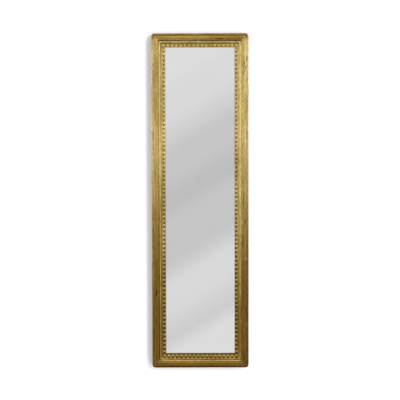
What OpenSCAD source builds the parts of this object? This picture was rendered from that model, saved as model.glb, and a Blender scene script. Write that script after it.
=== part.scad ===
// Pier mirror: a tall, narrow wall mirror in a mitred, water-gilded moulding
// with a row of composition pearls round the plate.
// The frame faces -Y, its back lies on the plane y = 0 and its bottom edge on z = 0.
// The moulding's section is drawn in u, the distance in from the outer edge, and w,
// the height forward of the back, and each member is that section run to a mitre.

/* [Frame] */
// Height over the outer edges
frame_h = 1300; // [900:10:2000]
// Width over the outer edges
frame_w = 376; // [300:1:700]
// Radius of the outer corners, seen from the front
corner_r = 12; // [6:1:16]

/* [Moulding section] */
// Radius of the small bead along the outer edge
bead_r = 2.4; // [1.5:0.1:4]
// Flat groove between the bead and the ovolo
groove_w = 2.8; // [1:0.1:4]
// Radius of the ovolo's outer quarter round
ovolo_r = 8.4; // [6:0.1:12]
// Width of the ovolo from its crest to its inner edge
ovolo_in = 11.5; // [8:0.5:20]
// Height that the ovolo falls over that width
ovolo_fall = 5; // [2:0.5:7]
// Height of the steep step below the ovolo's inner edge
step_h = 5; // [2:0.5:6]
// Width taken by the slant of that step
step_in = 0.8; // [0.2:0.1:2]
// Flat quirk between the step and the astragal
quirk_w = 1.3; // [0.6:0.1:3]
// Radius of the astragal
astragal_r = 3.3; // [1.5:0.1:4]
// Narrow fillet between the astragal and the cavetto
fillet_w = 0.5; // [0.3:0.1:2]
// Radius of the cavetto that runs down to the pearl bed
cavetto_r = 4.5; // [3:0.1:8]
// Flat edge left between the pearls and the sight edge
sight_w = 0.4; // [0.3:0.1:3]
// Thickness of the lip between the pearl bed and the plate
lip_t = 3.9; // [2.5:0.1:8]

/* [Pearls] */
// Radius of a pearl
pearl_r = 6.1; // [4:0.1:7]
// Wanted distance from pearl to pearl, evened out along each member
pearl_pitch = 16.5; // [14.5:0.5:24]
// Thickness of the composition ribbon that carries the pearls
ribbon_t = 1; // [0.6:0.1:2]

/* [Plate] */
// Thickness of the glass
glass_t = 4; // [3:0.5:6]
// Width of the ground arris round both faces of the glass
arris = 0.6; // [0.2:0.1:1]
// Thickness of the silvering with its coat of paint
silver_t = 0.15; // [0.1:0.05:0.5]
// Width that the sight lip laps over the plate's rebate
glass_lap = 7; // [5:0.5:10]
// Room between the edge of the glass and the rebate
glass_play = 0.4; // [0.2:0.1:2]
// Thickness of the glued blocks that keep the plate forward
block_t = 4; // [3:0.5:12]
// Length of a glued block
block_l = 60; // [30:5:100]

/* [Back boards] */
// Thickness of the boards
board_t = 8; // [7:0.5:14]
// Depth of the boards' backs below the back of the frame
board_recess = 1; // [0.2:0.1:4]
// Width of the ledge that carries the boards
ledge_w = 7; // [6:0.5:10]
// Room round the boards and between them
board_play = 0.5; // [0.3:0.1:2]
// Thickness of the thinned tongue round the boards
tongue_t = 5.5; // [4:0.5:6]
// Width of that tongue
tongue_w = 12; // [10:1:20]
// Length of a nail below its head
nail_l = 13; // [9:0.5:14]
// Radius of a nail
nail_r = 0.9; // [0.6:0.1:1.2]
// Radius of a nail's head
nail_head_r = 2.3; // [1.8:0.1:2.6]

/* [Mitre keys] */
// Length of a key across the mitre
key_l = 30; // [20:1:34]
// Width of a key at its ends
key_w = 12; // [9:0.5:14]
// Width of a key at its waist
key_waist = 6.5; // [4:0.5:8]
// Depth that a key is let in
key_t = 6; // [3:0.5:10]
// Distance from the outer edges to the middle of a key
key_u = 20.5; // [19:0.5:24]

/* [Hangers] */
// Distance from the top of the frame down to a ring's pivot
hanger_top = 180; // [80:5:400]
// Distance from the outer edge to the middle of a hanger
hanger_u = 19; // [15:1:24]
// Width of a hanger's strap
strap_w = 14; // [10:1:18]
// Length of a hanger's strap below the pivot
strap_l = 46; // [40:1:70]
// Thickness of the strap
strap_t = 1.2; // [0.8:0.1:2]
// Radius of the ring's wire
wire_r = 1.5; // [1:0.1:2]
// Radius of the ring's bow, to the middle of the wire
bow_r = 11.5; // [9.5:0.5:16]
// Radius of the ring's two upper bends, to the middle of the wire
bend_r = 3.5; // [2.5:0.1:4]
// Radius of a hanger screw's shank
screw_r = 1.6; // [1.2:0.1:2]
// Radius of a hanger screw's head
screw_head_r = 3.1; // [2.5:0.1:3.6]
// Length of a hanger screw below the strap
screw_l = 18; // [12:1:20]

/* [Hidden] */
BOARDS = 5;

$fn = 64;
gap = 0.1;          // room round what is let in, driven in or laid on
over = 1;           // how far a cutting body reaches past what it cuts
ring_gap = 0.3;     // room round a ring's bar in its knuckle, and behind the hanging ring
ribbon_gap = 0.3;   // bare bed left outside the ribbon of the pearls

// Widths across the section, from the outer edge to the sight edge.
crest_u = 2 * bead_r + groove_w + ovolo_r;
step_u = crest_u + ovolo_in;
astragal_u = step_u + step_in + quirk_w + astragal_r;
cavetto_u = astragal_u + astragal_r + fillet_w;
bed_u = cavetto_u + cavetto_r;
ribbon_u = bed_u + ribbon_gap;
pearl_u = ribbon_u + pearl_r;
member_w = pearl_u + pearl_r + sight_w;
glass_u = member_w - glass_lap;
ledge_u = glass_u - ledge_w;

// Heights forward of the back, from the boards to the crest of the ovolo.
ledge_d = board_recess + board_t + gap * 2;
silver_d = ledge_d + gap + block_t + gap;
glass_d = silver_d + silver_t;
lip_d = glass_d + glass_t + gap;
bed_d = lip_d + lip_t;
quirk_d = bed_d + cavetto_r;
crest_d = quirk_d + step_h + ovolo_fall;
groove_d = crest_d - ovolo_r;
frame_d = crest_d;

// The ovolo's inner part is an arc from its crest to its inner edge.
ovolo_in_r = (ovolo_in * ovolo_in + ovolo_fall * ovolo_fall) / (2 * ovolo_fall);

// Pearls stand at equal steps between the corner pearls.
function pearl_steps(length) = round((length - 2 * pearl_u) / pearl_pitch);
function pearl_at(length, i) = pearl_u + i * (length - 2 * pearl_u) / pearl_steps(length);

// Boards, from the bottom up.
board_l = frame_w - 2 * (ledge_u + board_play);
board_h = (frame_h - 2 * (ledge_u + board_play) - (BOARDS - 1) * board_play) / BOARDS;
function board_z(i) = ledge_u + board_play + (i - 1) * (board_h + board_play);
tongue_d = board_recess + board_t - tongue_t;
slope_w = 4 * (board_t - tongue_t);
nail_u = ledge_u + ledge_w / 2;
nail_head_t = 0.8;
nail_x = frame_w / 2 - nail_u;

// A ring's bar turns in the knuckle rolled at the top of its strap.
bar_half = bow_r - bend_r;
bore_r = wire_r + ring_gap;
knuckle_r = bore_r + strap_t;
knuckle_w = min(strap_w, 2 * bar_half - 2 * ring_gap);
pivot_y = knuckle_r + gap / 2;
hanger_x = frame_w / 2 - hanger_u;
pivot_z = frame_h - hanger_top;
upper_screw = strap_l * 0.35;
lower_screw = strap_l - strap_w / 2;
slot_h = 0.6;
slot_t = strap_t * 0.55;

gilt = "darkgoldenrod";
pearl_gilt = "goldenrod";
pine = "burlywood";
old_pine = "tan";
brass = "khaki";
iron = "dimgray";

// ---- Placing ----

// Draws its children, made for the left side, on both sides.
module both_sides() {
    children();
    mirror([1, 0, 0]) children();
}

// Turns a flat outline drawn in x and z into a slab from one depth to another.
module slab(from, to) {
    translate([0, -from, 0]) rotate([90, 0, 0]) linear_extrude(to - from) children();
}

// Half a turn about the middle of the frame, which keeps the front in front.
module half_turn() { translate([0, 0, frame_h]) rotate([0, 180, 0]) children(); }

// Puts a member that starts at its own corner and runs up onto one of the four sides.
module on_left() { translate([-frame_w / 2, 0, 0]) children(); }
module on_bottom() { translate([frame_w / 2, 0, 0]) rotate([0, -90, 0]) children(); }
module on_right() { half_turn() on_left() children(); }
module on_top() { half_turn() on_bottom() children(); }

// ---- The moulding ----

// The ovolo: a quarter round outside the crest and a flatter arc inside it.
module ovolo_section() {
    intersection() {
        translate([crest_u, groove_d]) circle(r = ovolo_r);
        translate([crest_u - ovolo_r, groove_d]) square(ovolo_r);
    }
    intersection() {
        translate([crest_u, crest_d - ovolo_in_r]) circle(r = ovolo_in_r);
        translate([crest_u, bed_d]) square([ovolo_in, crest_d - bed_d]);
    }
}

// The full section, with its bead, groove, ovolo, astragal, cavetto, bed and two rebates.
module member_section() {
    difference() {
        union() {
            square([member_w, bed_d]);
            square([crest_u, groove_d]);
            translate([bead_r, groove_d]) circle(r = bead_r);
            ovolo_section();
            polygon([
                [step_u - over, bed_d - over], [step_u - over, crest_d - ovolo_fall],
                [step_u, crest_d - ovolo_fall], [step_u + step_in, quirk_d],
                [step_u + step_in, bed_d - over]
            ]);
            translate([step_u, bed_d - over])
                square([cavetto_u - step_u, quirk_d - bed_d + over]);
            translate([astragal_u, quirk_d]) circle(r = astragal_r);
            difference() {
                translate([cavetto_u - over, bed_d - over])
                    square([cavetto_r + over, cavetto_r + over]);
                translate([cavetto_u + cavetto_r, quirk_d]) circle(r = cavetto_r);
            }
        }
        translate([ledge_u, -over]) square([member_w, ledge_d + over]);
        translate([glass_u, -over]) square([member_w, lip_d + over]);
    }
}

// The outer part of the section turned through half of a rounded corner.
module corner_turn() {
    translate([corner_r, 0, corner_r]) rotate([90, 0, 0])
        rotate_extrude(angle = 45, start = 180)
            intersection() {
                square([corner_r, frame_d + over]);
                translate([corner_r, 0]) mirror([1, 0]) member_section();
            }
}

// A member of the given length, mitred at both ends.
module member(length) {
    reach = member_w + over;
    intersection() {
        mirror([0, 1, 0]) linear_extrude(length) member_section();
        slab(-over, frame_d + over) polygon([
            [-over, corner_r], [corner_r, corner_r], [reach, reach],
            [reach, length - reach], [corner_r, length - corner_r], [-over, length - corner_r]
        ]);
    }
    corner_turn();
    translate([0, 0, length]) mirror([0, 0, 1]) corner_turn();
}

// A butterfly key across the lower left mitre, grown all round by the given room.
module mitre_key(room) {
    half_l = key_l / 2 + room;
    half_w = key_w / 2 + room;
    half_waist = key_waist / 2 + room;
    translate([-frame_w / 2 + key_u, 0, key_u])
        slab(room > 0 ? -over : 0, key_t + room) rotate(-45) polygon([
            [-half_l, -half_w], [0, -half_waist], [half_l, -half_w],
            [half_l, half_w], [0, half_waist], [-half_l, half_w]
        ]);
}

module at_top() { translate([0, 0, frame_h]) mirror([0, 0, 1]) children(); }

// Every pocket and hole in the backs of the four members.
module let_in() {
    both_sides() {
        mitre_key(gap);
        at_top() mitre_key(gap);
        screws(gap);
    }
    nails(gap);
}

module stile_left() {
    color(gilt) difference() {
        on_left() member(frame_h);
        let_in();
    }
}

module stile_right() { mirror([1, 0, 0]) stile_left(); }

module rail_bottom() {
    color(gilt) difference() {
        on_bottom() member(frame_w);
        let_in();
    }
}

module rail_top() { at_top() rail_bottom(); }

// ---- The pearls ----

// A half-round pearl, standing forward of a disc that is let back into what carries it.
module pearl(sink) {
    rotate([90, 0, 0]) rotate_extrude() {
        intersection() {
            circle(r = pearl_r);
            square(pearl_r);
        }
        if (sink > 0) translate([0, -sink]) square([pearl_r, sink]);
    }
}

// A mitred ribbon along a member, with its pearls cast in one piece with it.
module pearl_strip(length) {
    inner_u = ribbon_u + 2 * pearl_r;
    color(pearl_gilt) union() {
        slab(bed_d, bed_d + ribbon_t) polygon([
            [ribbon_u, ribbon_u], [inner_u, inner_u],
            [inner_u, length - inner_u], [ribbon_u, length - ribbon_u]
        ]);
        for (i = [1 : pearl_steps(length) - 1])
            translate([pearl_u, -bed_d - ribbon_t, pearl_at(length, i)]) pearl(ribbon_t / 2);
    }
}

module pearls_left() { on_left() pearl_strip(frame_h); }
module pearls_right() { on_right() pearl_strip(frame_h); }
module pearls_bottom() { on_bottom() pearl_strip(frame_w); }
module pearls_top() { on_top() pearl_strip(frame_w); }

// One loose pearl over the mitre of the ribbons at each corner.
module corner_pearls() {
    color(pearl_gilt) for (x = [-1, 1], z = [pearl_u, frame_h - pearl_u])
        translate([x * (frame_w / 2 - pearl_u), -bed_d - ribbon_t, z]) pearl(0);
}

// ---- The plate ----

// The plate's section over half its width each way, with its four arrises ground off.
module plate_section(half) {
    front_d = glass_d + glass_t;
    polygon([
        [-half, glass_d + arris], [-half + arris, glass_d], [half - arris, glass_d],
        [half, glass_d + arris], [half, front_d - arris], [half - arris, front_d],
        [-half + arris, front_d], [-half, front_d - arris]
    ]);
}

// The plate: that section run both ways, so that the ground arrises meet in mitres.
module mirror_glass() {
    half_w = frame_w / 2 - glass_u - glass_play;
    half_h = frame_h / 2 - glass_u - glass_play;
    color("lightcyan") translate([0, 0, frame_h / 2]) mirror([0, 1, 0]) intersection() {
        translate([0, 0, -half_h]) linear_extrude(2 * half_h) plate_section(half_w);
        translate([-half_w, 0, 0]) mirror([1, 0, -1]) linear_extrude(2 * half_w)
            plate_section(half_h);
    }
}

// The silvering lies on the flat of the plate's back, inside its arrises.
module silvering() {
    half_w = frame_w / 2 - glass_u - glass_play - arris;
    z = glass_u + glass_play + arris;
    color("silver") translate([-half_w, -glass_d, z])
        cube([2 * half_w, silver_t, frame_h - 2 * z]);
}

// Wedge-shaped blocks glued to the rebate's wall, close behind the silvering.
module block() {
    front = silver_d - gap;
    mirror([0, 1, 0]) linear_extrude(block_l) polygon([
        [glass_u, front - block_t], [glass_u + block_t, front - block_t],
        [glass_u + 2 * block_t, front], [glass_u, front]
    ]);
}

module plate_blocks() {
    color(pine) {
        both_sides() on_left() for (share = [1, 3, 5, 7])
            translate([0, 0, frame_h * share / 8 - block_l / 2]) block();
        on_bottom() translate([0, 0, (frame_w - block_l) / 2]) block();
        on_top() translate([0, 0, (frame_w - block_l) / 2]) block();
    }
}

// ---- The back ----

// The section of a board's thinned edge, to be cut away behind its tongue.
module tongue_cut(length) {
    linear_extrude(length) polygon([
        [-over, -over], [tongue_w + slope_w, -over], [tongue_w + slope_w, board_recess],
        [tongue_w, tongue_d], [-over, tongue_d]
    ]);
}

module back_board(i) {
    color(old_pine) difference() {
        translate([-board_l / 2, -board_recess - board_t, board_z(i)])
            cube([board_l, board_t, board_h]);
        both_sides() translate([-board_l / 2, 0, board_z(i) - over])
            mirror([0, 1, 0]) tongue_cut(board_h + 2 * over);
        if (i == 1) board_end_cut();
        if (i == BOARDS) at_top() board_end_cut();
        nails(gap);
    }
}

// The same thinned edge along the bottom of the lowest board.
module board_end_cut() {
    translate([-board_l / 2 - over, 0, ledge_u + board_play]) mirror([1, 0, -1])
        mirror([0, 1, 0]) tongue_cut(board_l + 2 * over);
}

// A nail driven forward through a board's tongue, grown all round by the given room.
module nail(room) {
    head_d = room > 0 ? -over : tongue_d - nail_head_t;
    rotate([90, 0, 0]) {
        translate([0, 0, head_d]) cylinder(r = nail_head_r + room, h = tongue_d - head_d);
        cylinder_between(tongue_d - over / 2, tongue_d + nail_l + room, nail_r + room);
    }
}

module cylinder_between(from, to, r) { translate([0, 0, from]) cylinder(r = r, h = to - from); }

// Two nails at each end of each board, and two through the outer edge of the end boards.
module nails(room) {
    for (i = [1 : BOARDS], share = [0.2, 0.8])
        both_sides() translate([nail_x, 0, board_z(i) + board_h * share]) nail(room);
    for (z = [nail_u, frame_h - nail_u])
        both_sides() translate([board_l / 4, 0, z]) nail(room);
}

module board_nails() { color(iron) nails(0); }

module mitre_key_bottom_left() { color(pine) mitre_key(0); }
module mitre_key_bottom_right() { mirror([1, 0, 0]) mitre_key_bottom_left(); }
module mitre_key_top_left() { at_top() mitre_key_bottom_left(); }
module mitre_key_top_right() { mirror([1, 0, 0]) mitre_key_top_left(); }

// ---- The hangers ----

// Draws its children round the pivot of the left ring.
module at_pivot() { translate([-hanger_x, pivot_y, pivot_z]) children(); }

// A rod along x, centred on the pivot.
module across(r, w) { rotate([0, 90, 0]) cylinder(r = r, h = w, center = true); }

// A strap of sheet brass, rolled round the ring's bar at its top and screwed on below.
module hanger_plate_left() {
    color(brass) difference() {
        union() {
            at_pivot() across(knuckle_r, knuckle_w);
            translate([-hanger_x, 0, pivot_z]) slab(-strap_t, 0) {
                translate([-knuckle_w / 2, -strap_w]) square([knuckle_w, strap_w + strap_t / 2]);
                translate([-strap_w / 2, strap_w / 2 - strap_l])
                    square([strap_w, strap_l - strap_w]);
                translate([0, strap_w / 2 - strap_l]) circle(r = strap_w / 2);
            }
        }
        at_pivot() across(bore_r, strap_w + 2 * over);
        // the slit where the rolled end comes back to the strap
        at_pivot() translate([-strap_w / 2 - over, strap_t - pivot_y, -knuckle_r - over])
            cube([strap_w + 2 * over, ring_gap, knuckle_r + over]);
        screws(gap);
    }
}

module hanger_plate_right() { translate([2 * hanger_x, 0, 0]) hanger_plate_left(); }

// A countersunk wood screw driven forward, its head flush with the strap.
module screw(room) {
    outer = strap_t + (room > 0 ? over : 0);
    head_end = screw_head_r + room;
    difference() {
        rotate([90, 0, 0]) {
            translate([0, 0, -strap_t]) cylinder(
                r1 = head_end, r2 = screw_r + room, h = strap_t);
            if (room > 0) cylinder_between(-outer, -strap_t + gap / 10, head_end);
            cylinder_between(-gap, screw_l + room, screw_r + room);
        }
        if (room == 0) translate([-screw_head_r - over, strap_t - slot_t, -slot_h / 2])
            cube([2 * (screw_head_r + over), slot_t + over, slot_h]);
    }
}

// The two screws of the left hanger.
module screws(room) {
    for (below = [upper_screw, lower_screw])
        translate([-hanger_x, 0, pivot_z - below]) screw(room);
}

module hanger_screws() { color(brass) both_sides() screws(0); }

// A stretch of the ring's wire bent to a radius, in the plane of x and z.
module bent_wire(radius, from, turn) {
    rotate([90, 0, 0]) rotate_extrude(angle = turn, start = from)
        translate([radius, 0]) circle(r = wire_r);
}

// A D-shaped ring: a straight bar, two tight bends and a half-round bow, hanging down.
module hanger_ring_left() {
    color(brass) at_pivot() {
        across(wire_r, 2 * bar_half);
        translate([bar_half, 0, -bend_r]) bent_wire(bend_r, 0, 90);
        translate([-bar_half, 0, -bend_r]) bent_wire(bend_r, 90, 90);
        translate([0, 0, -bend_r]) bent_wire(bow_r, 180, 180);
    }
}

module hanger_ring_right() { translate([2 * hanger_x, 0, 0]) hanger_ring_left(); }

stile_left();
stile_right();
rail_top();
rail_bottom();
pearls_left();
pearls_right();
pearls_top();
pearls_bottom();
corner_pearls();
mirror_glass();
silvering();
plate_blocks();
back_board(1);  // back_board_1
back_board(2);  // back_board_2
back_board(3);  // back_board_3
back_board(4);  // back_board_4
back_board(5);  // back_board_5
board_nails();
mitre_key_top_left();
mitre_key_top_right();
mitre_key_bottom_left();
mitre_key_bottom_right();
hanger_plate_left();
hanger_plate_right();
hanger_screws();
hanger_ring_left();
hanger_ring_right();
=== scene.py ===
"""Looks of a pier mirror: gilded moulding, pearls, silvered plate, boarded back and hangers.

Everything is in metres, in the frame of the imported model: the mirror faces -Y, its back
lies on y = 0 and its bottom edge on z = 0. A moulding's section is drawn in u, the
distance in from the outer edge, and w, the height forward of the back; s runs along it.
"""

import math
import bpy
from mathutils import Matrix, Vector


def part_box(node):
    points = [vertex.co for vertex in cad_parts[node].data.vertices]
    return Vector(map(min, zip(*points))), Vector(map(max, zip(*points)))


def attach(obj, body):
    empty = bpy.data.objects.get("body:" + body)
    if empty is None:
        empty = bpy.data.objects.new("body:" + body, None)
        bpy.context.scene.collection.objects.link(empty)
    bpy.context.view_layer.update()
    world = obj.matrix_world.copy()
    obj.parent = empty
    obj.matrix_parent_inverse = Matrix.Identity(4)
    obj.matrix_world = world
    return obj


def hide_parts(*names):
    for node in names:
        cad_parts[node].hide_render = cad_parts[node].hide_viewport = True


bl_info = {
    "name": "Pier Mirror",
    "version": (1, 0, 0),
    "blender": (4, 5, 0),
    "location": "View3D > Sidebar > Pier Mirror",
    "description": "Builds the gilded frame, pearls, plate, back and hangers of a pier mirror",
    "category": "Object",
}

from types import SimpleNamespace

import bmesh
import bpy
import numpy as np
from bpy.props import FloatProperty, FloatVectorProperty, IntProperty, PointerProperty
from mathutils import Vector

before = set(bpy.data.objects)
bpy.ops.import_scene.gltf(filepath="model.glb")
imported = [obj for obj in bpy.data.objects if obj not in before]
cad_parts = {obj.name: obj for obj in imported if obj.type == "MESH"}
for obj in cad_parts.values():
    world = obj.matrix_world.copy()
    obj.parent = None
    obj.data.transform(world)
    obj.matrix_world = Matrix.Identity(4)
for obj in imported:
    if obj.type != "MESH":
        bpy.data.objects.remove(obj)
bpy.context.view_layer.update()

MM = 0.001
FRAME_BODY = "frame"
MEMBERS = ("stile_left", "stile_right", "rail_bottom", "rail_top")
BOARDS = 5
GILT, WASHED, BARE = 0, 1, 2             # the finishes of a member, by face
POLISHED, GROUND, SILVERED = 0, 1, 2     # the finishes of the plate, by face

LAP = 7 * MM            # of the moulding over the plate, and of the plate over its ledge
PLATE_PLAY = 0.1 * MM   # between the plate and the lip before it
BOARD_PLAY = 0.2 * MM   # between the boards and their ledge
RIBBON_PLAY = 0.3 * MM  # between the pearls' ribbon and the cavetto
BEAD_DROP = 9 * MM      # from the bead's middle down to where the gilding starts
FINE = 0.1 * MM         # step of the line that the section is softened on
COARSE = 3 * MM         # step of the section's flat sides
ARRIS = 0.25 * MM       # what is off the back's outer arris
CREASE = math.radians(38)  # edges sharper than this stay sharp to the eye


def linear(code):
    """An sRGB hex colour as linear red, green, blue and an alpha of 1."""
    parts = [int(code[i : i + 2], 16) / 255 for i in (1, 3, 5)]
    return (*[c / 12.92 if c <= 0.04045 else ((c + 0.055) / 1.055) ** 2.4 for c in parts], 1.0)


# ---- Sizes and colours that a user would change ----


def length(name, about, mm):
    """A length property whose default is given in millimetres."""
    return FloatProperty(name=name, description=about, default=mm * MM, min=0.0, unit="LENGTH")


def colour(name, about, code):
    """A colour property whose default is given as an sRGB hex code."""
    return FloatVectorProperty(
        name=name, description=about, default=linear(code)[:3], subtype="COLOR",
        size=3, min=0.0, max=1.0)


class MouldingSizes(bpy.types.PropertyGroup):
    """Sizes of the moulding's section and of what it carries."""

    corner_r: length("Corner radius", "Radius of the outer corners", 12)
    bead_r: length("Bead radius", "Radius of the bead along the outer edge", 2.4)
    groove_w: length("Groove", "Width of the groove inside the bead", 2.8)
    ovolo_r: length("Ovolo radius", "Radius of the ovolo's outer quarter round", 8.4)
    ovolo_in: length("Ovolo width", "Width from the ovolo's crest to its inner edge", 11.5)
    ovolo_fall: length("Ovolo fall", "Height that the ovolo falls over that width", 5)
    step_in: length("Step slant", "Width taken by the slant of the step below the ovolo", 0.8)
    quirk_w: length("Quirk", "Width of the quirk beside the astragal", 1.3)
    astragal_r: length("Astragal radius", "Radius of the astragal", 3.3)
    fillet_w: length("Fillet", "Width of the fillet inside the astragal", 0.5)
    cavetto_r: length("Cavetto radius", "Radius of the cavetto down to the bed", 4.5)
    pearl_rings: IntProperty(
        name="Pearl rings", description="Rings of vertices from a pearl's foot to its top",
        default=9, min=4)
    sight_w: length("Sight edge", "Flat left between the pearls and the sight edge", 0.4)
    lip_t: length("Lip", "Thickness of the lip over the plate", 3.9)
    pearl_r: length("Pearl radius", "Radius of a pearl", 6.1)
    pearl_pitch: length("Pearl pitch", "Wanted distance from pearl to pearl", 16.5)
    ribbon_t: length("Ribbon", "Thickness of the ribbon under the pearls", 1)
    glass_t: length("Glass", "Thickness of the plate", 4)
    board_t: length("Boards", "Thickness of the back boards", 8)
    tongue_t: length("Tongue", "Thickness of the boards' thinned edges", 5.5)
    unevenness: length("Unevenness", "How far the hand-laid gesso is from true", 0.16)


class FinishColours(bpy.types.PropertyGroup):
    """Colours of the finishes."""

    leaf_pale: colour("Pale leaf", "Gold leaf where it is least toned", "#E6D29C")
    # Also the colour of the painted highlights on steps, crests and the pearls' tops.
    leaf_bright: colour("Bright leaf", "Gold leaf burnished on the crests", "#FBF0AE")
    leaf_warm: colour("Warm leaf", "Gold leaf over the warmer bole", "#D9B67A")
    leaf_green: colour("Green leaf", "Gold leaf under old greenish size", "#C8BA74")
    # Its coats also carry painted shade: deeper towards the foot and along the dark lines.
    toning: colour("Toning", "What one full coat of the brown toning size lets through", "#917D50")
    bole: colour("Bole", "Red clay bole where the leaf is rubbed through", "#8E5230")
    handled: colour("Handled wash", "The ochre wash where hands have darkened it", "#7B5D2C")
    gesso: colour("Gesso", "Chalk gesso bared by chips", "#C98F6C")
    ochre: colour("Ochre wash", "Yellow ochre wash on the outer sides", "#A67F42")
    pine: colour("Old pine", "Planed pine gone brown", "#8C6236")
    pine_dark: colour("Pine, late wood", "Dark late-wood lines of the pine", "#5F3D1F")
    brass: colour("Tarnished brass", "Brass of straps and rings", "#A88A4C")
    screws: colour("Screw brass", "Brass of the screws, wiped cleaner than the straps", "#D2B672")
    iron: colour("Old iron", "Cut nails gone brown", "#4A3C33")
    key_wood: colour("Hardwood keys", "Beech keys across the mitres", "#6C4224")


class StageSettings(bpy.types.PropertyGroup):
    """The camera."""

    distance: FloatProperty(
        name="Camera distance", description="From the wall to the camera", default=5.0,
        min=0.5, unit="LENGTH")
    camera_height: FloatProperty(
        name="Camera height", description="Above the foot of the mirror", default=0.9797,
        unit="LENGTH")
    pitch: FloatProperty(
        name="Camera pitch", description="Downward tilt of the camera",
        default=math.radians(3.719), subtype="ANGLE")
    roll: FloatProperty(
        name="Camera roll", description="Turn of the camera about its own axis",
        default=math.radians(0.126), subtype="ANGLE")
    lens: FloatProperty(
        name="Lens", description="Focal length for a 36 mm square picture", default=115.605,
        subtype="DISTANCE_CAMERA")


def layout():
    """The section's derived widths and heights, from the properties and the CAD boxes."""
    z = bpy.context.scene.mirror_sizes
    low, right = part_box("stile_left")[0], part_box("stile_right")[1]
    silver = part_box("silvering")
    n = SimpleNamespace(sizes=z, width=right.x - low.x, height=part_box("rail_top")[1].z)
    n.depth = -low.y
    n.crest_u = 2 * z.bead_r + z.groove_w + z.ovolo_r
    n.step_u = n.crest_u + z.ovolo_in
    n.astragal_u = n.step_u + z.step_in + z.quirk_w + z.astragal_r
    n.cavetto_u = n.astragal_u + z.astragal_r + z.fillet_w
    n.bed_u = n.cavetto_u + z.cavetto_r
    n.ribbon_u = n.bed_u + RIBBON_PLAY
    n.pearl_u = n.ribbon_u + z.pearl_r
    n.member_w = n.pearl_u + z.pearl_r + z.sight_w
    n.glass_u = n.member_w - LAP
    n.ledge_u = n.glass_u - LAP
    n.glass_d = -silver[0].y
    n.lip_d = n.glass_d + z.glass_t + PLATE_PLAY
    n.bed_d = n.lip_d + z.lip_t
    n.quirk_d = n.bed_d + z.cavetto_r
    n.crest_d = n.depth
    n.groove_d = n.crest_d - z.ovolo_r
    n.board_back = -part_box("back_board_1")[1].y
    n.ledge_d = n.board_back + z.board_t + BOARD_PLAY
    n.tongue_d = n.board_back + z.board_t - z.tongue_t
    return n


# ---- Noise and meshes ----


def smooth_noise(x, y, seed):
    """Smooth value noise from -1 to 1 at the points (x, y), one lump to each unit."""
    table = np.random.default_rng(seed).random((64, 64)) * 2 - 1
    x, y = np.broadcast_arrays(np.asarray(x, float), np.asarray(y, float))
    i, j = np.floor(x).astype(int), np.floor(y).astype(int)
    a, b = x - i, y - j
    a, b = a * a * (3 - 2 * a), b * b * (3 - 2 * b)
    at = lambda p, q: table[p % 64, q % 64]
    low = at(i, j) * (1 - a) + at(i + 1, j) * a
    return low * (1 - b) + (at(i, j + 1) * (1 - a) + at(i + 1, j + 1) * a) * b


def smooth_step(low, high, x):
    """0 below low, 1 above high and a smooth rise between."""
    t = np.clip((x - low) / (high - low), 0, 1)
    return t * t * (3 - 2 * t)


def make_piece(name, points, faces, materials, node, zones=None, facts=None, smooth=True):
    """A mesh object with its materials and attributes, on the frame in place of a CAD node."""
    mesh = bpy.data.meshes.new(name)
    mesh.from_pydata([tuple(p) for p in points], [], faces)
    for material in materials:
        mesh.materials.append(material)
    if zones is not None:
        mesh.polygons.foreach_set("material_index", np.asarray(zones, np.int32))
    for fact, values in (facts or {}).items():
        mesh.attributes.new(fact, "FLOAT", "POINT").data.foreach_set(
            "value", np.asarray(values, np.float32))
    outward(mesh)
    mesh.polygons.foreach_set("use_smooth", [smooth] * len(mesh.polygons))
    if smooth:
        mesh.set_sharp_from_angle(angle=CREASE)
    piece = bpy.data.objects.new(name, mesh)
    bpy.context.scene.collection.objects.link(piece)
    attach(piece, FRAME_BODY)
    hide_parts(node)


def outward(mesh):
    """Turns all the faces of a closed mesh to face outwards."""
    bm = bmesh.new()
    bm.from_mesh(mesh)
    bmesh.ops.recalc_face_normals(bm, faces=bm.faces)
    bm.to_mesh(mesh)
    bm.free()


def grid_faces(rows, columns):
    """Quads between neighbouring rows of points, each row closed round."""
    r, c = np.meshgrid(np.arange(rows - 1), np.arange(columns), indexing="ij")
    near, far, turned = r * columns, (r + 1) * columns, (c + 1) % columns
    quads = np.stack([near + c, near + turned, far + turned, far + c], -1)
    return [tuple(q) for q in quads.reshape(-1, 4)]


def tube_faces(rows, columns):
    """The quads of a tube and the two faces that close its ends."""
    ends = [tuple(range(columns)), tuple(range((rows - 1) * columns, rows * columns))]
    return grid_faces(rows, columns) + ends


def dense(corners, step):
    """A line through the corners, with points no further apart than step."""
    out = []
    for a, b in zip(corners[:-1], corners[1:]):
        a, b = np.asarray(a, float), np.asarray(b, float)
        count = max(1, int(math.ceil(np.linalg.norm(b - a) / step)))
        out += [a + (b - a) * i / count for i in range(count)]
    return out + [np.asarray(corners[-1], float)]


def arc(u, w, r, start, end, count=24):
    """Points on an arc about (u, w), with its angles in degrees from the u axis."""
    t = np.radians(np.linspace(start, end, count))
    return [np.array([u + r * math.cos(a), w + r * math.sin(a)]) for a in t]


def along_line(points):
    """The distance along a line of points up to each one."""
    steps = np.linalg.norm(np.diff(points, axis=0), axis=1)
    return np.concatenate([[0], np.cumsum(steps)])


def resample(points, step):
    """The same line with evenly spaced points."""
    points = np.asarray(points)
    run = along_line(points)
    at = np.linspace(0, run[-1], int(round(run[-1] / step)) + 1)
    return np.stack([np.interp(at, run, points[:, 0]), np.interp(at, run, points[:, 1])], -1)


def soften(points, sigma, step):
    """Rounds a line's corners, as layers of gesso do, with its ends kept in place."""
    reach = int(4 * sigma / step)
    weights = np.exp(-0.5 * (np.arange(-reach, reach + 1) * step / sigma) ** 2)
    weights /= weights.sum()
    padded = np.concatenate([2 * points[0] - points[reach:0:-1], points,
                             2 * points[-1] - points[-2:-reach - 2:-1]])
    return np.stack([np.convolve(padded[:, k], weights, "valid") for k in (0, 1)], -1)


# ---- The moulding's section ----


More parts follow.
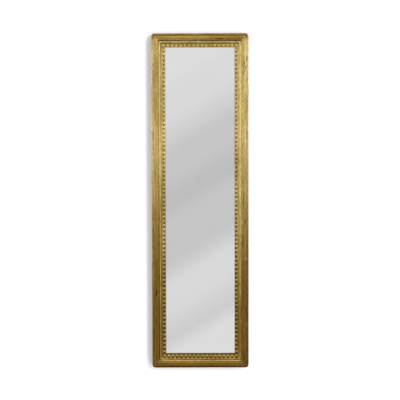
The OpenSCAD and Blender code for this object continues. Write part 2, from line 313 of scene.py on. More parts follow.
def face_line(n):
    """The gilded face of the section, from the outer side's head to the sight edge."""
    z = n.sizes
    fall_r = (z.ovolo_in**2 + z.ovolo_fall**2) / (2 * z.ovolo_fall)
    last = 90 - math.degrees(math.asin(z.ovolo_in / fall_r))
    line = [np.array([0, n.groove_d - BEAD_DROP])]
    line += arc(z.bead_r, n.groove_d, z.bead_r, 180, 0)
    line += arc(n.crest_u, n.groove_d, z.ovolo_r, 180, 90)
    line += arc(n.crest_u, n.crest_d - fall_r, fall_r, 90, last)
    line += [np.array([n.step_u + z.step_in, n.quirk_d])]
    line += arc(n.astragal_u, n.quirk_d, z.astragal_r, 180, 0)
    line += arc(n.bed_u, n.quirk_d, z.cavetto_r, 180, 270)
    gesso_round, lip_arris = 0.32 * MM, 0.2 * MM
    line += [np.array([n.member_w, n.bed_d]), np.array([n.member_w, n.lip_d + lip_arris])]
    return soften(resample(dense(line, FINE), FINE), gesso_round, FINE)


def outline(n):
    """The whole section as points (u, w), each face's zone and how hollow each point lies."""
    reach, kept_every, chamfer = 2.6 * MM, 8, 0.3 * MM
    fine = face_line(n)
    hollow = (soften(fine, reach, FINE)[:, 1] - fine[:, 1]) / MM
    pick = np.unique(np.concatenate([np.arange(0, len(fine), kept_every), [len(fine) - 1]]))
    face, sunk = fine[pick], hollow[pick]
    side = dense([(ARRIS, 0), (0, ARRIS), (0, n.groove_d - BEAD_DROP)], COARSE)[:-1]
    back = dense([(n.member_w, n.lip_d), (n.glass_u, n.lip_d), (n.glass_u, n.ledge_d),
                  (n.ledge_u, n.ledge_d), (n.ledge_u, chamfer), (n.ledge_u - chamfer, 0),
                  (ARRIS, 0)], COARSE)[:-1]
    points = np.concatenate([np.asarray(side), face, np.asarray(back)])
    zones = np.array([WASHED] * len(side) + [GILT] * (len(face) - 1) + [BARE] * (len(back) + 1))
    sunk = np.concatenate([np.zeros(len(side)), sunk, np.zeros(len(back))])
    return points, zones, sunk


def run_rows(points, n, run):
    """For each row along a member, where each point of the section lies as (u, s).

    The rows start on the mitre, turn the outer part round the corner and then run straight.
    """
    u, c, clear, spacing = points[:, 0], n.sizes.corner_r, 90 * MM, 4 * MM
    turns, straight, spread = 9, 14, 0.35
    rows_u, rows_s = [], []
    for k in range(turns + 1):
        angle = math.radians(45) * (1 - k / turns)
        ring = c - u
        inner_s = u + (u - c) * spread * k / turns
        rows_u.append(np.where(u < c, c - ring * math.cos(angle), u))
        rows_s.append(np.where(u < c, c - ring * math.sin(angle), inner_s))
    last = rows_s[-1]
    for k in range(1, straight + 1):
        rows_u.append(u.copy())
        rows_s.append(last + (clear - last) * k / straight)
    middle = np.linspace(clear, run - clear, int((run - 2 * clear) / spacing) + 1)[1:-1]
    head_u, head_s = np.array(rows_u), np.array(rows_s)
    all_u = np.concatenate([head_u, np.tile(u, (len(middle), 1)), head_u[::-1]])
    all_s = np.concatenate([head_s, np.tile(middle[:, None], (1, len(u))), run - head_s[::-1]])
    return all_u, all_s


def place(member, n, u, w, s):
    """Points of a member's own u, w and s in the frame of the model."""
    half = n.width / 2
    x = {"stile_left": u - half, "stile_right": half - u}.get(member, s - half)
    z = {"rail_bottom": u, "rail_top": n.height - u}.get(member, s)
    return np.stack([x, -w, z], -1)


def run_of(member, n):
    """The length of a member over its outer edge."""
    return n.height if member.startswith("stile") else n.width


# Noise on the members is asked for in lumps to the metre, along and across.

# Knocks and rubs that the frame has taken: member, s and u of the middle, half length and
# half width, in millimetres, and what shows there.
KNOCKS = (
    ("stile_right", 1201, 8, 13, 1.7, "grime"), ("stile_right", 1180, 17.5, 12, 1.5, "grime"),
    ("stile_right", 1168, 10.5, 4, 2.4, "grime"), ("stile_right", 1156, 14, 5, 1.5, "grime"),
    ("stile_right", 1145, 19, 9, 1.0, "bole"), ("stile_right", 1120, 7, 16, 1.0, "bole"),
    ("stile_right", 1054, 12, 13, 1.2, "gesso"), ("stile_right", 655, 20, 30, 0.9, "grime"),
    ("stile_right", 575, 11, 6, 2.0, "grime"), ("stile_right", 494, 23, 34, 1.6, "grime"),
    ("stile_right", 452, 25, 26, 1.5, "bole"), ("stile_right", 428, 10, 5, 2.2, "gesso"),
    ("stile_right", 214, 21, 20, 1.1, "bole"),
    ("stile_left", 1277, 8, 7, 1.4, "bole"),
    ("stile_left", 610, 9, 26, 1.3, "bole"), ("stile_left", 455, 12, 9, 2.0, "bole"),
    ("stile_left", 294, 17, 14, 2.2, "grime"), ("stile_left", 905, 6, 30, 1.2, "bole"),
    ("rail_top", 118, 6, 14, 2.2, "bole"), ("rail_top", 265, 22, 18, 1.5, "grime"),
    ("rail_top", 30, 7, 9, 1.8, "bole"),
)


def knocks_on(member, points, s):
    """How bare each point of a member is knocked, from 0 to 1, by what shows there."""
    bare = {shows: np.zeros(s.shape) for shows in ("gesso", "bole", "grime")}
    u = points[:, 0][None, :]
    for where, at_s, at_u, half_s, half_u, shows in KNOCKS:
        if where == member:
            ragged = 1 + 0.35 * smooth_noise(s * 500, u * 900, int(at_s))
            away = np.hypot((s / MM - at_s) / half_s, (u / MM - at_u) / half_u)
            bare[shows] = np.maximum(bare[shows], 1 - smooth_step(0.55, 1.1, away * ragged))
    return bare


# How each member has aged and where its light and shade are painted: the size's depth in
# full coats at the head and at the foot, deeper at the foot partly as real toning and partly
# as painted shade for the light falling off down the frame; the height where it starts to
# thin, the share of it gone inside the step and the sheen there, partly a painted highlight;
# the size between the pearls at the head and at the foot, dirt and painted shade together,
# how far it leans to the plate, towards the side that the light leaves in shade, and how deep
# it lies beside the pearls, in the gaps or, below 0, next to each pearl, as painted shadow
# that the pearls cast; the share rubbed off the pearls' tops and their sheen at the head and
# at the foot, partly a painted highlight; and lines along the member, as u and half width in
# millimetres, size and sheen, mostly painted shade and painted highlight where the section's
# faces turn from the light or towards it, with some dirt in the quirks.
AGEING_AND_LIGHT = {
    # On the left stile the lines paint a highlight on the astragal and shade beside it.
    "stile_left": dict(head=0.12, foot=0.93, low=0.03, inner=0.25, sheen=0.15,
                       gap=(0.75, 1.1), lean=-0.6, scallop=0.4, tops=(0.35, 0.05, 0.2),
                       lines=((30.6, 2.0, -0.15, 1.4), (27.0, 1.5, 0.1, 0.0),
                              (18.0, 6.0, 0.2, 0.0), (6.0, 4.0, -0.1, 0.2),
                              (34.8, 1.4, 0.08, 0.0), (37.5, 1.5, -0.25, 0.1),
                              (40.5, 1.5, 0.2, 0.0), (44.0, 2.0, -0.3, 0.0),
                              (50.5, 2.5, 0.0, 0.3))),
    # On the right stile a light line with sheen on the step is a painted highlight over its shade.
    "stile_right": dict(head=0.08, foot=1.18, low=0.1, inner=0.42, sheen=0.2,
                        gap=(0.75, 1.15), lean=0.5, scallop=0.0, tops=(0.35, 0.05, 0.2),
                        lines=((34.5, 3.0, -0.15, 0.5), (27.4, 1.5, -0.7, 0.75),
                               (38.3, 1.6, -0.1, 0.3), (50.5, 2.0, 0.0, 0.3),
                               (3.0, 5.0, -0.15, 0.3))),
    "rail_top": dict(head=0.5, foot=0.5, low=0.0, inner=0.38, sheen=0.15,
                     gap=(0.45, 0.45), lean=-0.3, scallop=0.3, tops=(0.35, 0.1, 0.1),
                     lines=((8.8, 2.0, 0.95, 0.0), (4.8, 2.0, -0.35, 0.0),
                            (29.0, 1.5, 0.15, 0.0), (35.5, 2.5, -0.15, 0.4),
                            (40.0, 1.5, 0.35, 0.0), (49.0, 6.0, -0.15, 0.15))),
    # On the bottom rail the lines paint a highlight on the arris that faces up, and shade in the
    # quirk, on the edge facing down and under the pearls.
    "rail_bottom": dict(head=0.9, foot=0.9, low=0.0, inner=0.4, sheen=0.1,
                        gap=(0.4, 0.4), lean=-1.0, scallop=-2.2, tops=(0.2, 0.0, 0.0),
                        lines=((2.0, 2.5, 1.15, 0.0), (17.0, 1.8, 0.2, 0.0),
                               (20.8, 1.6, -0.3, 0.0), (24.0, 1.6, 0.7, 0.0),
                               (27.6, 1.6, -1.2, 1.5), (30.5, 1.4, 1.05, 0.0),
                               (33.8, 1.8, -0.15, 0.2), (38.3, 1.5, 0.35, 0.0),
                               (41.5, 1.5, 0.1, 0.0), (46.8, 2.2, -0.4, 0.1),
                               (50.5, 2.0, 0.3, 0.0), (53.8, 1.0, 0.9, 0.0))),
}


def near_line(u, at, half):
    """1 on a line along a member at u = at, fading away over half on either side."""
    return np.exp(-(((u - at) / half) ** 2))


def own_ageing_and_light(member, n, u, s, hollow, gap, top_wear_and_highlight):
    """The size's depth in coats with painted shade in it, the leaf's sheen with painted highlights
    in it, and its cast at each point of a member.
    """
    a = SimpleNamespace(**AGEING_AND_LIGHT[member])
    upright, seed = member.startswith("stile"), 31 + MEMBERS.index(member)
    thins_over, beside, dark_groove_u = 0.9, n.bed_u - 2.7 * MM, 8 * MM
    low = 1 - smooth_step(a.low, a.low + thins_over, s) if upright else 0.5 + 0 * s
    inside = smooth_step(n.step_u, n.astragal_u, u)

    # The size: its depth by height and member, deeper at the foot partly as painted shade, long
    # streaks, a fine mottle and the hollows.
    streaks = 0.13 * smooth_noise(s * 6, u * 90, seed) + 0.08 * smooth_noise(s * 22, u * 260, seed)
    mottle = 0.05 * smooth_noise(s * 90, u * 130, seed + 7)
    size_and_shade = (a.head + (a.foot - a.head) * low) * (1 - a.inner * inside) * (1 - a.tops[0] * top_wear_and_highlight)
    size_and_shade = size_and_shade + streaks + mottle + 0.15 * hollow

    # Dirt and painted shade between the pearls, leaning to the side that the light leaves in
    # shade.
    lean = 1 + a.lean * np.clip((u - n.pearl_u) / n.sizes.pearl_r, -1, 1)
    size_and_shade = size_and_shade + gap * lean * (a.gap[0] + (a.gap[1] - a.gap[0]) * low)
    # Painted shadow that each pearl casts on the cavetto beside it, and painted shade in the gaps
    # there.
    step = pearl_steps(n, run_of(member, n))[1]
    between = -0.5 * np.cos(2 * math.pi * (s - n.pearl_u) / step)
    size_and_shade = size_and_shade + a.scallop * between * near_line(u, beside, 2 * MM)

    # Sheen inside the step and on the pearls' tops, partly burnish and partly painted highlight,
    # the lines of painted shade and highlight, and the top rail's dark groove carried onto a
    # stile's head.
    sheen_and_highlight = a.sheen * inside * (1 - top_wear_and_highlight) + top_wear_and_highlight * (a.tops[1] + (a.tops[2] - a.tops[1]) * low)
    for at, half, size, bright in a.lines:
        near = near_line(u / MM, at, half)
        size_and_shade, sheen_and_highlight = size_and_shade + size * near, sheen_and_highlight + bright * near * (1 - 0.5 * low)
    if upright:
        # The top rail's dark groove, carried round onto the stile's head.
        turned = smooth_step(n.height - 27 * MM, n.height - 10 * MM, s)
        size_and_shade = size_and_shade + 1.1 * turned * near_line(u, dark_groove_u, 2.5 * MM)
    cast = (smooth_step(9 * MM, 17 * MM, u) - 0.5) * (1 - inside)
    return {"size_and_shade": np.maximum(size_and_shade, 0), "sheen_and_highlight": np.clip(sheen_and_highlight, 0, 1), "cast": cast + 0 * s}


def neighbour(member, far):
    """The member that this one meets at its near or far end, and if with its own far end."""
    if member.startswith("stile"):
        return ("rail_bottom", "rail_top")[far], member == "stile_right"
    return ("stile_left", "stile_right")[far], member == "rail_top"


def ageing_and_light(member, n, u, s, hollow=0.0, gap=0.0, top_wear_and_highlight=0.0):
    """A member's own size, sheen and painted light, brushed into its neighbours' at the mitres."""
    blend = 12 * MM
    facts = own_ageing_and_light(member, n, u, s, hollow, gap, top_wear_and_highlight)
    for far in (False, True):
        other, other_far = neighbour(member, far)
        to_end = run_of(member, n) - s if far else s
        there = run_of(other, n) - u if other_far else u
        theirs = own_ageing_and_light(other, n, u, there + 0 * s, hollow, gap, top_wear_and_highlight)
        share = 0.5 * (1 - smooth_step(0, blend, to_end - u))
        facts = {k: v + share * (theirs[k] - v) for k, v in facts.items()}
    return facts


def outline_normals(points):
    """Unit normals of the closed section, pointing out of the wood."""
    ahead, behind = np.roll(points, -1, 0), np.roll(points, 1, 0)
    t = ahead - behind
    t /= np.linalg.norm(t, axis=1)[:, None]
    return np.stack([-t[:, 1], t[:, 0]], -1)


def member_mesh(member, n):
    """Points, faces, zones and attributes of one member."""
    true_for, knock_depth = 45 * MM, 0.3 * MM
    points, zones, sunk = outline(n)
    run = run_of(member, n)
    u, s = run_rows(points, n, run)
    across = along_line(np.concatenate([points, points[:1]]))[:-1]
    seed = 11 + 7 * MEMBERS.index(member)
    wave = 0.5 + 0.5 * smooth_noise(s * 14, across[None, :] * 110, seed)
    wave = wave * 0.7 + 0.3 * (0.5 + 0.5 * smooth_noise(s * 60, across[None, :] * 300, seed + 1))
    ends = smooth_step(0, true_for, np.minimum(s, run - s) - points[:, 0][None, :] * 0.98)
    bare = knocks_on(member, points, s)
    normals = outline_normals(points)
    on_face = np.isin(np.arange(len(points)), np.flatnonzero(sunk != 0)).astype(float)
    sink = n.sizes.unevenness * wave * ends * (0.35 + 0.65 * on_face)
    sink = sink + knock_depth * (bare["gesso"] + 0.5 * bare["bole"] + 0.4 * bare["grime"])
    w = points[:, 1][None, :] - normals[:, 1][None, :] * sink
    u = u - normals[:, 0][None, :] * sink
    co = place(member, n, u, np.maximum(w, 0), s)
    rows, columns = s.shape
    face_zones = np.concatenate([np.tile(zones, rows - 1), [BARE, BARE]])
    hollow = np.clip(sunk[None, :], 0, 2) / 2
    facts = ageing_and_light(member, n, points[:, 0][None, :], s, hollow)
    # Convex crests get more sheen: a painted highlight.
    facts["sheen_and_highlight"] = np.clip(facts["sheen_and_highlight"] + 0.1 * np.clip(-sunk[None, :], 0, 1.2), 0, 1)
    facts["size_and_shade"] = facts["size_and_shade"] + 1.5 * bare["grime"]
    facts.update(along=s, across=np.tile(across, (rows, 1)), chalk=bare["gesso"],
                 clay=bare["bole"])
    facts = {k: v.ravel() for k, v in facts.items()}
    return co.reshape(-1, 3), tube_faces(rows, columns), face_zones, facts


def build_moulding():
    """The four members of the frame, in gilding, ochre wash and bare pine."""
    n = layout()
    finishes = [new_material("gilding_on_wood", water_gilding),
                new_material("ochre_distemper_on_gesso", ochre_wash),
                new_material("planed_pine_members", member_pine)]
    for member in MEMBERS:
        co, faces, zones, facts = member_mesh(member, n)
        make_piece("moulding_" + member, co, faces, finishes, member, zones, facts)


# ---- The pearls ----


def pearl_steps(n, run):
    """The number of steps between corner pearls and their length."""
    span = run - 2 * n.pearl_u
    count = round(span / n.sizes.pearl_pitch)
    return count, span / count


def pearl_template(rings, spokes=24):
    """A unit pearl as (x, y, height), its foot ring sunk below the bed, and its faces."""
    angles = np.radians(np.linspace(0, 82, rings))
    profile = [(1.0, -0.08)] + [(math.cos(a), math.sin(a)) for a in angles]
    turn = np.linspace(0, 2 * math.pi, spokes, endpoint=False)
    co = [(r * math.cos(t), r * math.sin(t), h) for r, h in profile for t in turn]
    faces = grid_faces(len(profile), spokes)
    last = (len(profile) - 1) * spokes
    co.append((0, 0, 1.0))
    faces += [(last + k, last + (k + 1) % spokes, len(co) - 1) for k in range(spokes)]
    faces.append(tuple(range(spokes)))
    return np.array(co), faces


def pearls_at(member, n, stations, seed, sink=0.5 * MM):
    """Pearls on a member at the stations s, each a little unlike the next."""
    unit, unit_faces = pearl_template(n.sizes.pearl_rings)
    rng = np.random.default_rng(seed)
    foot, jitter, sight_play = n.bed_d + n.sizes.ribbon_t, 0.2 * MM, 0.1 * MM
    co, faces, top_wear_and_highlight, hollow, along, out = [], [], [], [], [], []
    for s in stations:
        r = n.sizes.pearl_r * (1 - 0.03 * rng.random())
        tall = n.sizes.pearl_r * (0.93 + 0.05 * rng.random())
        flat = 1 - 0.07 * np.clip(unit[:, 2], 0, 1) ** 6 * rng.random()
        grain = 1 - 0.012 * (1 + smooth_noise(unit[:, 0] * 3 + s * 50, unit[:, 1] * 3, seed))
        u = n.pearl_u + unit[:, 0] * r * grain + (rng.random() - 0.5) * jitter
        w = foot - sink * (unit[:, 2] < 0) + np.maximum(unit[:, 2], 0) * tall * flat
        at = s + unit[:, 1] * r * grain
        faces += [tuple(v + sum(map(len, co)) for v in f) for f in unit_faces]
        co.append(place(member, n, np.minimum(u, n.member_w - sight_play), w, at))
        # The pearls' tops: less size and more sheen, partly wear and partly painted highlight.
        top_wear_and_highlight.append(smooth_step(0.2, 0.75, unit[:, 2]))
        # Their sides towards their neighbours and their feet: dirt and painted shade between the
        # pearls.
        hollow.append(np.maximum(smooth_step(0.45, 0.85, np.abs(unit[:, 1])),
                                 0.4 * (1 - smooth_step(0.1, 0.5, unit[:, 2]))))
        along.append(at)
        out.append(u)
    out, along, top_wear_and_highlight, hollow = map(np.concatenate, (out, along, top_wear_and_highlight, hollow))
    return np.concatenate(co), faces, pearl_facts(member, n, out, along, top_wear_and_highlight, hollow)


def pearl_facts(member, n, u, s, top_wear_and_highlight, gap):
    """The attributes that the gilding of the pearls and ribbons reads."""
    facts = ageing_and_light(member, n, u, s, 0.0, gap, top_wear_and_highlight)
    facts.update(along=s, across=u, chalk=s * 0, clay=s * 0)
    return facts


def ribbon(member, n):
    """The mitred ribbon under a member's pearls."""
    inner = n.ribbon_u + 2 * n.sizes.pearl_r
    low, high, soft, spacing = n.bed_d, n.bed_d + n.sizes.ribbon_t, 0.3 * MM, 8 * MM
    corners = [(n.ribbon_u, low), (n.ribbon_u, high - soft), (n.ribbon_u + soft, high),
               (inner - soft, high), (inner, high - soft), (inner, low)]
    under = dense([(inner, low), (n.ribbon_u, low)], COARSE)[1:-1]
    points = np.array(dense(corners, 2 * MM) + under)
    run = run_of(member, n)
    share = np.linspace(0, 1, int(run / spacing))[:, None]
    u = np.tile(points[:, 0], (len(share), 1))
    s = points[:, 0][None, :] * (1 - 2 * share) + run * share
    co = place(member, n, u, np.tile(points[:, 1], (len(share), 1)), s)
    # The ribbon's middle, between the pearls: dirt and painted shade.
    middle = np.clip(1.15 - np.abs(u - n.pearl_u) / (5.2 * MM), 0, 1)
    facts = pearl_facts(member, n, u.ravel(), s.ravel(), s.ravel() * 0, middle.ravel())
    return co.reshape(-1, 3), tube_faces(*s.shape), facts


def joined(*parts):
    """Several (points, faces, facts) as one."""
    faces, count = [], 0
    for co, own, _ in parts:
        faces += [tuple(v + count for v in f) for f in own]
        count += len(co)
    facts = {k: np.concatenate([p[2][k] for p in parts]) for k in parts[0][2]}
    return np.concatenate([p[0] for p in parts]), faces, facts


def build_pearls():
    """The four strips of pearls and the four loose pearls over the mitres."""
    n = layout()
    gilding = [new_material("gilding_on_composition", water_gilding)]
    strips = {"stile_left": "pearls_left", "stile_right": "pearls_right",
              "rail_bottom": "pearls_bottom", "rail_top": "pearls_top"}
    for k, (member, node) in enumerate(strips.items()):
        count, step = pearl_steps(n, run_of(member, n))
        stations = n.pearl_u + step * np.arange(1, count)
        co, faces, facts = joined(ribbon(member, n), pearls_at(member, n, stations, 50 + k))
        make_piece("strip_" + node, co, faces, gilding, node, facts=facts)
    ends = [pearls_at(m, n, [n.pearl_u, n.width - n.pearl_u], 70 + k, sink=0)
            for k, m in enumerate(("rail_bottom", "rail_top"))]
    co, faces, facts = joined(*ends)
    make_piece("loose_corner_pearls", co, faces, gilding, "corner_pearls",
               facts=facts)


# ---- The plate ----


def ringed_box(low, high, rings):
    """A box as rings (y, inset) of four corners from front to back, and its two ends."""
    co = [(x, y, z) for y, inset in rings
          for x, z in ((low.x + inset, low.z + inset), (high.x - inset, low.z + inset),
                       (high.x - inset, high.z - inset), (low.x + inset, high.z - inset))]
    return co, tube_faces(len(rings), 4)


def build_plate():
    """The plate: polished front, ground arrises and a silvered back under its paint."""
    arris, silver = 0.6 * MM, 0.03 * MM
    low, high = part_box("mirror_glass")
    co, faces = ringed_box(low, high, [(low.y, arris), (low.y + arris, 0),
                                       (high.y - arris, 0), (high.y, arris)])
    finishes = [new_material("polished_plate_glass", plate_glass),
                new_material("ground_glass_edges", ground_glass),
                new_material("deposited_silver", silvering)]
    make_piece("silvered_plate", co, faces, finishes, "mirror_glass",
               zones=[GROUND] * 12 + [POLISHED, SILVERED], smooth=False)
    low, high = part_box("silvering")
    co, faces = ringed_box(low, high, [(low.y + silver, 0), (high.y, 0)])
    paint = new_material("brushed_backing_paint", backing_paint)
    make_piece("silvering_paint", co, faces, [paint], "silvering", smooth=False)


# ---- The back ----


def board_depth(n, x, z, low, high, end):
    """How far forward of y = 0 the back of a board lies at (x, z)."""
    flat, slope = 12 * MM, 10 * MM
    to_edge = np.minimum(x - low.x, high.x - x)
    if end:
        to_edge = np.minimum(to_edge, z - low.z if end < 0 else high.z - z)
    rise = np.clip((to_edge - flat) / slope, 0, 1)
    rise = rise * rise * (3 - 2 * rise) * 0.35 + rise * 0.65
    return n.tongue_d + (n.board_back - n.tongue_d) * rise


def board_marks(low, high, soft, count):
    """Places across a board: its two edges, their softened arrises and count between."""
    inner = np.linspace(low + 3 * MM, high - 3 * MM, count)
    return np.concatenate([[low, low + soft], inner, [high - soft, high]])


def board_mesh(i, n):
    """A planed board with thinned ends, softened arrises and plane marks."""
    low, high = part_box(f"back_board_{i}")
    end = {1: -1, BOARDS: 1}.get(i, 0)
    soft = 0.5 * MM
    x, z = np.meshgrid(board_marks(low.x, high.x, soft, 90), board_marks(low.z, high.z, soft, 76),
                       indexing="ij")
    d = board_depth(n, x, z, low, high, end)
    plane_marks = 0.12 * MM * (0.5 + 0.5 * smooth_noise(x * 8, z * 42, 90 + i))
    cup = 0.25 * MM * ((z - (low.z + high.z) / 2) / (high.z - low.z) * 2) ** 2
    d = d + plane_marks + cup
    edge = np.minimum.reduce([x - low.x, high.x - x, z - low.z, high.z - z])
    d = d + soft * (edge < soft / 2)
    back = np.stack([x, -d, z], -1).reshape(-1, 3)
    front = np.stack([x, np.full(x.shape, low.y), z], -1).reshape(-1, 3)
    at = np.arange(x.size).reshape(x.shape)
    skin = np.stack([at[:-1, :-1], at[:-1, 1:], at[1:, 1:], at[1:, :-1]], -1).reshape(-1, 4)
    ring = np.concatenate([at[0], at[1:, -1], at[-1, -2::-1], at[-2:0:-1, 0]])
    on = np.roll(ring, -1)
    walls = np.stack([ring, on, on + x.size, ring + x.size], -1)
    faces = [tuple(f) for f in np.concatenate([skin, skin + x.size, walls])]
    return np.concatenate([back, front]), faces


def nail_places(n):
    """Where the nails stand, as (x, z)."""
    nail_u = n.ledge_u + 3.5 * MM
    out = []
    for i in range(1, BOARDS + 1):
        low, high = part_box(f"back_board_{i}")
        for share in (0.2, 0.8):
            out += [(side * (n.width / 2 - nail_u), low.z + (high.z - low.z) * share)
                    for side in (-1, 1)]
        if i in (1, BOARDS):
            z = nail_u if i == 1 else n.height - nail_u
            out += [(side * (high.x - low.x) / 4, z) for side in (-1, 1)]
    return out


def nail_mesh(n, x, z, seed):
    """A cut nail: a roughly hammered head on the tongue and a shank into the ledge."""
    rng = np.random.default_rng(seed)
    sides, head_r, shank_r, head_t, reach = 14, 2.3 * MM, 0.9 * MM, 0.8 * MM, 12.6 * MM
    turn = np.linspace(0, 2 * math.pi, sides, endpoint=False)
    ragged = 1 - 0.14 * rng.random(sides)
    face, under = n.tongue_d - head_t, n.tongue_d + 0.1 * MM
    head = [(0.5, face + 0.08 * MM), (0.86, face + 0.2 * MM), (1.0, face + 0.45 * MM),
            (0.96, under)]
    rings = [(head_r * r * ragged, d) for r, d in head]
    rings += [(shank_r + 0 * turn, d) for d in (under, n.tongue_d + reach)]
    co = [(x + r * math.cos(t), -d, z + r * math.sin(t))
          for radii, d in rings for r, t in zip(radii, turn)]
    return np.array(co), tube_faces(len(rings), sides), {}


def build_back():
    """The five boards, their nails, the glued blocks and the mitre keys."""
    n = layout()
    for i in range(1, BOARDS + 1):
        co, faces = board_mesh(i, n)
        pine = new_material(f"planed_pine_board_{i}", board_pine, i)
        make_piece(f"board_{i}", co, faces, [pine], f"back_board_{i}")
    co, faces, _ = joined(*[nail_mesh(n, x, z, 200 + k)
                            for k, (x, z) in enumerate(nail_places(n))])
    iron = new_material("cut_iron_nails", old_iron)
    make_piece("cut_nails", co, faces, [iron], "board_nails")
    finish("plate_blocks", new_material("sawn_pine_blocks", block_pine))
    beech = new_material("planed_beech_keys", beech_keys)
    for end in ("top", "bottom"):
        for side in ("left", "right"):
            finish(f"mitre_key_{end}_{side}", beech)


def finish(node, material):
    """Gives a CAD node that stays in view its material."""
    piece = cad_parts[node]
    piece.data.materials.clear()
    piece.data.materials.append(material)


def build_hangers():
    """Straps, screws and rings in tarnished brass."""
    c = bpy.context.scene.mirror_finishes
    rolled = new_material("rolled_brass_strap", tarnished_brass, c.brass)
    drawn = new_material("drawn_brass_wire", tarnished_brass, c.brass)
    for side in ("left", "right"):
        finish(f"hanger_plate_{side}", rolled)
        finish(f"hanger_ring_{side}", drawn)
    finish("hanger_screws", new_material("turned_brass_screws", tarnished_brass, c.screws))


# ---- Materials ----

MIX = {"data_type": "RGBA", "out": 2}
TIMES = {"blend_type": "MULTIPLY", **MIX}
EASED = {"interpolation_type": "SMOOTHSTEP"}
GLASS_IOR = 1.52


def put(tree, kind, inputs=None, out=0, stops=(), **settings):
    """Adds a node with its settings, values, links and ramp stops, and gives one output."""
    node = tree.nodes.new("ShaderNode" + kind)
    for key, value in settings.items():
        setattr(node, key, value)
    for k, (at, tone) in enumerate(stops):
        ramp = node.color_ramp.elements
        stop = ramp[k] if k < 2 else ramp.new(at)
        stop.position, stop.color = at, tone
    for key, value in (inputs or {}).items():
        if isinstance(value, bpy.types.NodeSocket):
            tree.links.new(value, node.inputs[key])
        else:
            node.inputs[key].default_value = value
    return node.outputs[out] if len(node.outputs) else None


def new_material(name, draw, *how):
    """A material in place of an older one of its name, with the shader that draw gives."""
    found = bpy.data.materials.get(name)
    if found:
        bpy.data.materials.remove(found)
    material = bpy.data.materials.new(name)
    material.use_nodes = True
    tree = material.node_tree
    tree.nodes.clear()
    put(tree, "OutputMaterial", {"Surface": draw(tree, *how)})
    return material


def grey(level):
    """A linear grey."""
    return (level, level, level, 1.0)


def rgba(value):
    """A colour property as a socket value."""
    return (*value, 1.0)


def read_facts(tree, *names):
    """What the mesh says at each point, such as how far along a member it lies."""
    return [put(tree, "Attribute", out="Fac", attribute_name=name) for name in names]


def along_member(tree):
    """A point's place along and across its member, which the grain and the brush follow."""
    along, across = read_facts(tree, "along", "across")
    return put(tree, "CombineXYZ", {0: along, 1: across})


def drawn_out(tree, distortion, *streaks):
    """Noise drawn out along the members: each streak's length and width in mm, and a start."""
    run = along_member(tree)
    return [put(tree, "TexNoise", {
        "Vector": put(tree, "Mapping", {
            "Vector": run, "Location": (0, 0, at),
            "Scale": (1 / (long * MM), 1 / (wide * MM), 1)}),
        "Scale": 1.0, "Detail": 3.0, "Roughness": 0.6, "Distortion": distortion})
        for long, wide, at in streaks]


def water_gilding(tree):
    """Gold leaf burnished on red bole and gesso under brown toning size, rubbed by age.

    To the eye it is a satin gold in long streaks where the burnisher ran. The size takes
    light with its depth, so that the gold is pale at the head of the frame and brown at its
    foot and in the hollows; its depth also carries painted shade, deeper towards the foot and
    in lines where the section turns from the light, and the bright leaf carries painted
    highlights on crests, steps and the pearls' tops. Bole shows where the leaf is rubbed and
    gesso where it is chipped.
    The streaks and scratches are drawn coarser than real ones, which would be too fine to show.
    """
    c = bpy.context.scene.mirror_finishes
    size_and_shade, sheen_and_highlight, cast, chalk, clay = read_facts(tree, "size_and_shade", "sheen_and_highlight", "cast", "chalk", "clay")
    streaks, scratches, bands, patches = drawn_out(
        tree, 0.3, (110, 6.5, 0), (140, 2.4, 8), (200, 20, 3), (16, 3.5, 12))
    place = put(tree, "TexCoord", out="Object")
    specks = put(tree, "TexNoise", {"Vector": place, "Scale": 1 / (2.4 * MM), "Detail": 2.0})
    warm = put(tree, "MapRange", {0: streaks, 1: 0.4, 2: 0.62}, **EASED)
    leaf = put(tree, "Mix", {0: warm, 6: rgba(c.leaf_pale), 7: rgba(c.leaf_warm)}, **MIX)
    green = put(tree, "Math", {0: cast, 1: 0.2, 2: bands}, operation="MULTIPLY_ADD")
    green = put(tree, "MapRange", {0: green, 1: 0.45, 2: 0.6, 4: 0.8}, **EASED)
    scored = put(tree, "MapRange", {0: scratches, 1: 0.48, 2: 0.72, 4: 0.45}, **EASED)
    # The bright leaf comes in with the sheen: burnish and painted highlight together.
    for share, tone in ((green, c.leaf_green), (sheen_and_highlight, c.leaf_bright), (scored, c.bole)):
        leaf = put(tree, "Mix", {0: share, 6: leaf, 7: rgba(tone)}, **MIX)
    uneven = put(tree, "MapRange", {0: patches, 3: -0.6, 4: 0.6})
    # The coats' depth is the toning size with painted shade in it.
    depth = put(tree, "Math", {0: size_and_shade, 1: uneven}, operation="ADD")
    coats = put(tree, "Gamma", {0: rgba(c.toning), 1: depth})
    toned = put(tree, "Mix", {0: 1.0, 6: leaf, 7: coats}, **TIMES)
    base = put(tree, "Mix", {0: clay, 6: toned, 7: rgba(c.bole)}, **MIX)
    base = put(tree, "Mix", {0: chalk, 6: base, 7: rgba(c.gesso)}, **MIX)
    bare = put(tree, "Math", {0: clay, 1: chalk}, operation="ADD", use_clamp=True)
    metal = put(tree, "Math", {0: 1.0, 1: bare}, operation="SUBTRACT")
    rough = put(tree, "MapRange", {0: streaks, 1: 0.3, 2: 0.7, 3: 0.46, 4: 0.6}, **EASED)
    relief = put(tree, "Math", {0: specks, 1: 0.4, 2: scratches}, operation="MULTIPLY_ADD")
    bump = put(tree, "Bump", {"Strength": 0.25, "Distance": 0.4 * MM, "Height": relief})
    return put(tree, "BsdfPrincipled", {
        "Base Color": base, "Metallic": metal, "Roughness": rough, "Normal": bump})


